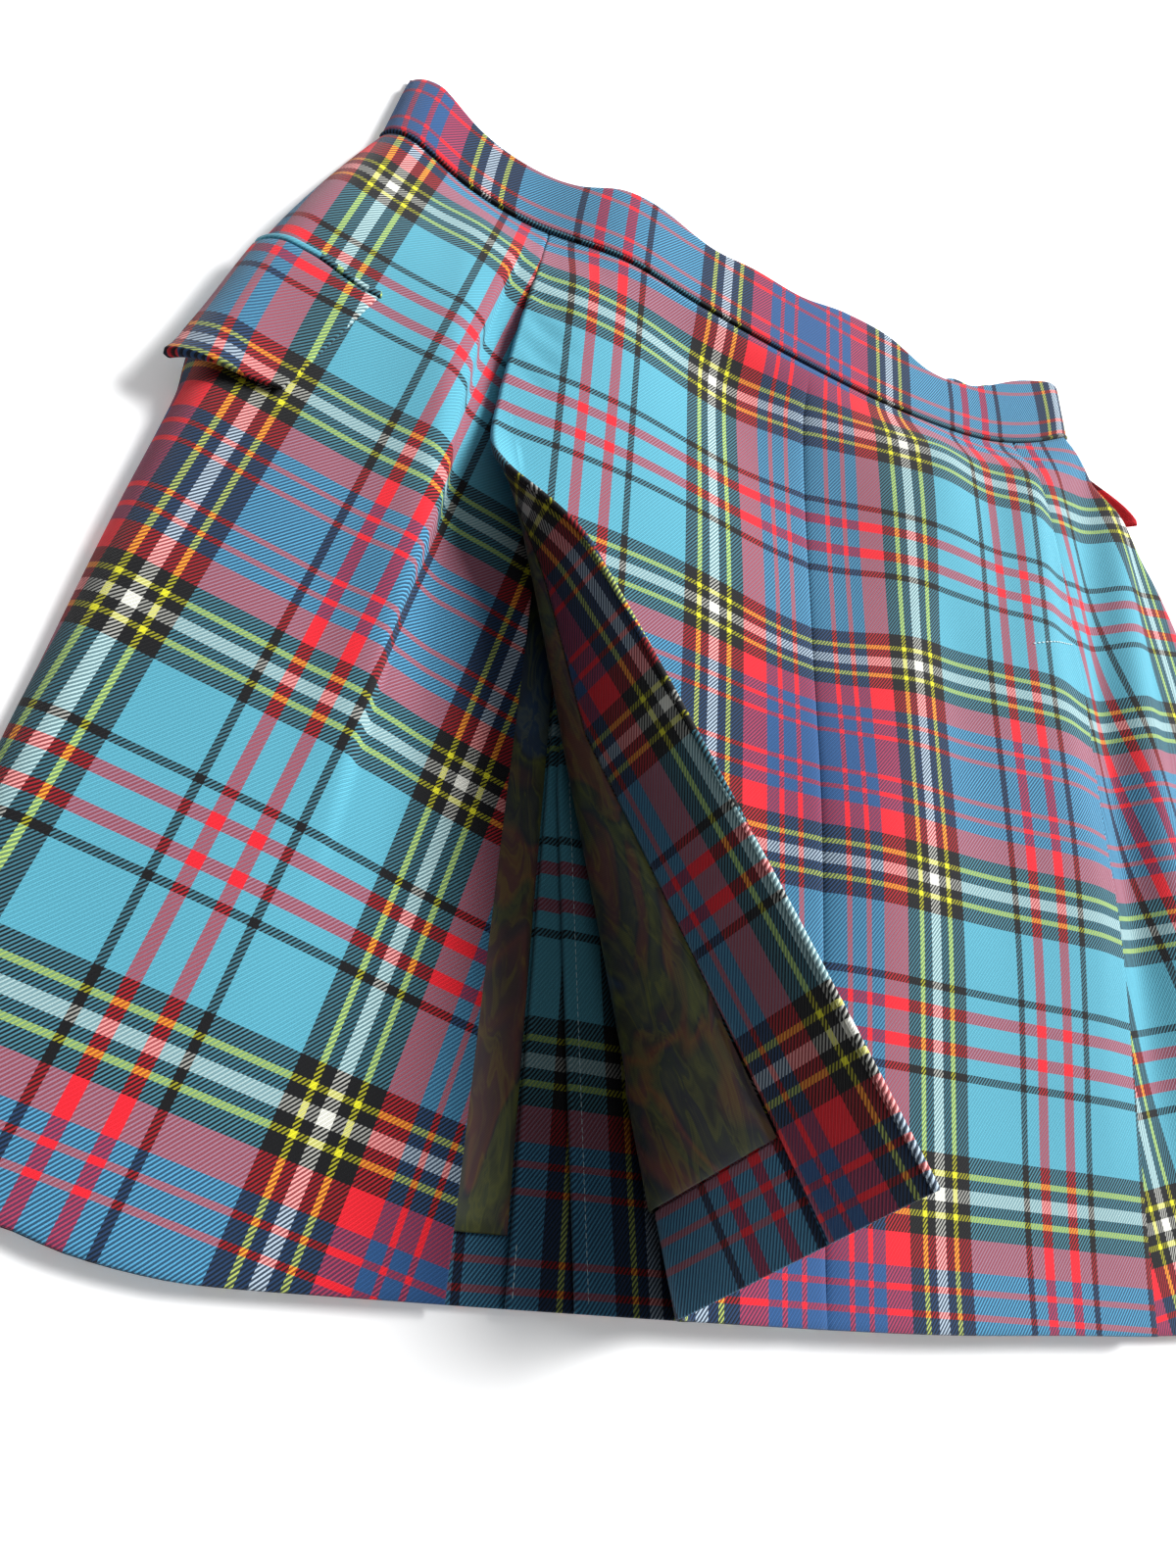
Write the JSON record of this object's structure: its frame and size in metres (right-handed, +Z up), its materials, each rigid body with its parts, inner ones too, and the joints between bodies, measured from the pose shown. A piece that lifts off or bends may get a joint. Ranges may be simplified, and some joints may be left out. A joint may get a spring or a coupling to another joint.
{
  "type": "mini kilt laid flat",
  "caption": "Short checked wrap-look kilt laid flat, waistband up, its front apron's lower corner turned up to show the lining and knife pleats.",
  "frame": {"origin": "on the surface it lies on, under the middle of its box", "axes": "+Z up, front of the kilt up; +Y from hem to waist; +X across it, to the right seen from above with the waist at the top"},
  "size_m": [0.5268, 0.431, 0.0995],
  "materials": {
    "check_twill": "wool twill, checked",
    "marbled_lining": "satin lining, marbled",
    "edging": "wool twill piping",
    "zip_tape": "woven tape"
  },
  "bodies": {
    "root": {"apron_facing": "check_twill", "apron_hem_turnup": "check_twill", "apron_lining": "marbled_lining", "back_left": "check_twill", "back_right": "check_twill", "back_zip": "zip_tape", "front_apron": "check_twill", "left_flap_welt": "edging", "left_hip_flap": "check_twill", "left_pleats": "check_twill", "left_side_panel": "check_twill", "pleat_lining": "marbled_lining", "right_hip_flap": "check_twill", "right_pleats": "check_twill", "right_side_panel": "check_twill", "waist_piping": "edging", "waistband_back_left": "check_twill", "waistband_back_right": "check_twill", "waistband_front": "check_twill"}
  },
  "joints": []
}
